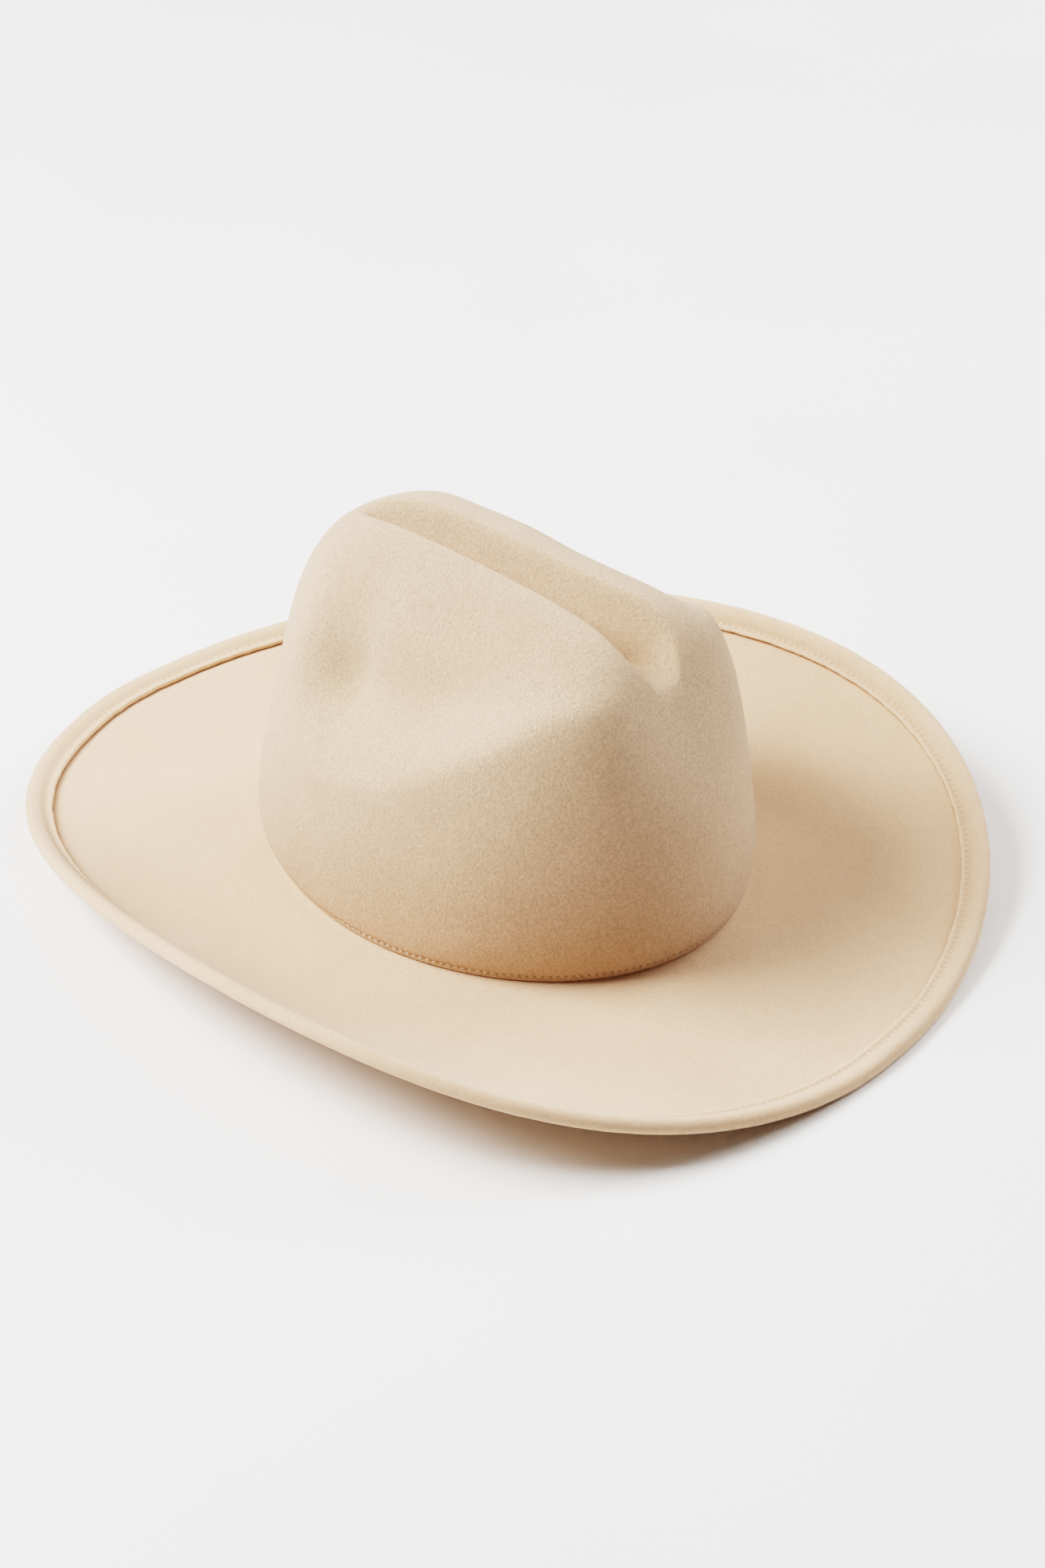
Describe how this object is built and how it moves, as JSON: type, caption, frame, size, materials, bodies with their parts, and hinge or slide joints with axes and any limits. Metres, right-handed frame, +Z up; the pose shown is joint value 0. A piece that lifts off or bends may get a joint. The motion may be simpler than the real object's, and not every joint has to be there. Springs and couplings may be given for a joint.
{
  "type": "cowboy hat",
  "caption": "Wool felt cowboy hat with a creased crown, a wide rolled and wired brim curled up at the sides, and a sweatband inside.",
  "frame": {"origin": "on the surface that the hat stands on, under the middle of its width and length", "axes": "-Y to the front of the hat, +Y to its back, +X to one side, +Z up out of the crown"},
  "size_m": [0.3536, 0.4222, 0.1595],
  "materials": {
    "felt": "brushed wool felt, matt with a fine nap",
    "thread": "twisted polyester sewing thread",
    "wire": "drawn steel wire",
    "joiner": "crimped metal sleeve",
    "sweatband": "ribbed grosgrain ribbon",
    "reed": "soft plastic cord",
    "tape": "thin woven tape",
    "ribbon": "narrow satin ribbon",
    "label": "woven satin label, blank"
  },
  "bodies": {
    "root": {"crown": "felt", "brim": "felt", "brim_wire": "wire", "wire_joiner": "joiner", "brim_stitching": "thread", "crown_stitching": "thread", "sweatband": "sweatband", "sweatband_stitching": "thread", "reed": "reed", "reed_tape": "tape", "seam_tape": "tape", "bow": "ribbon", "size_label": "label", "care_label": "label"}
  },
  "joints": []
}
